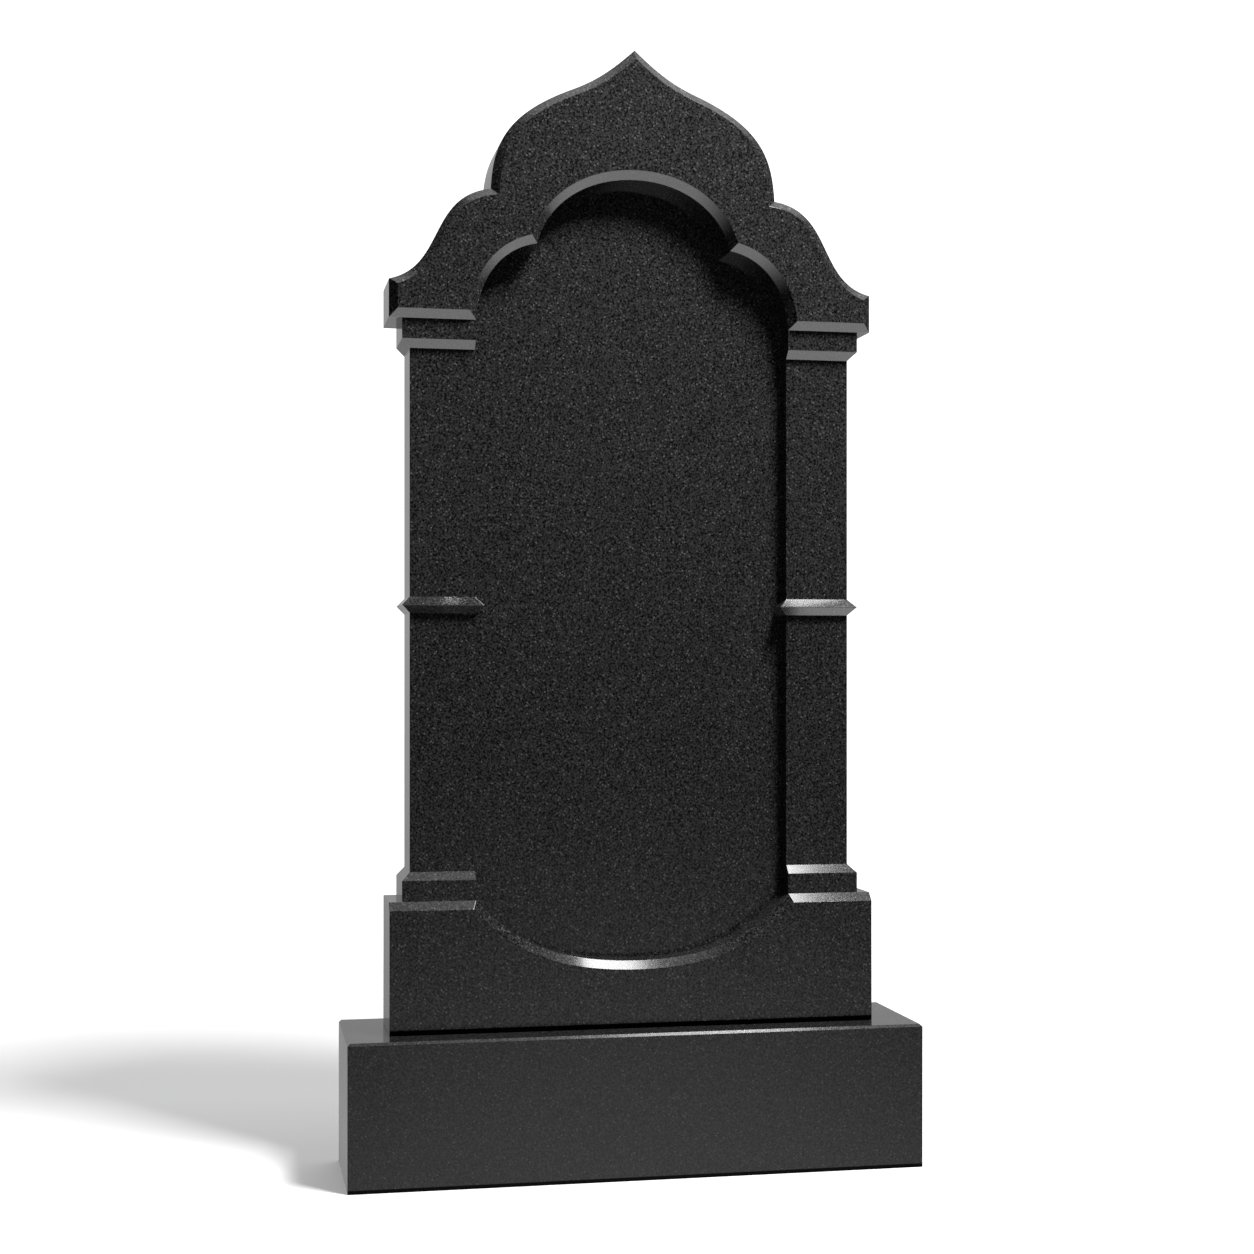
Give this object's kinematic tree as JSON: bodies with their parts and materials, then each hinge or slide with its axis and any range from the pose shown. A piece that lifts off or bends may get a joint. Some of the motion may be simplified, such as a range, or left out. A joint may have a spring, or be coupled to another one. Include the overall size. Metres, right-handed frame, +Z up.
{
  "type": "headstone",
  "caption": "Upright arched headstone of dark polished granite: a slab with an ogee cap, lobed niche, pilasters and belt, standing on a plain rectangular block.",
  "frame": {"origin": "centre of the block's underside, on the ground", "axes": "+Z up, the carved front faces -Y, +X to the right of someone facing the front"},
  "size_m": [0.6, 0.15, 1.1683],
  "materials": {
    "stele_granite": "mirror-polished near-black granite with fine pale flecks",
    "block_granite": "polished near-black granite with fine pale flecks"
  },
  "bodies": {
    "root": {"stele": "stele_granite", "base_block": "block_granite"}
  },
  "joints": []
}
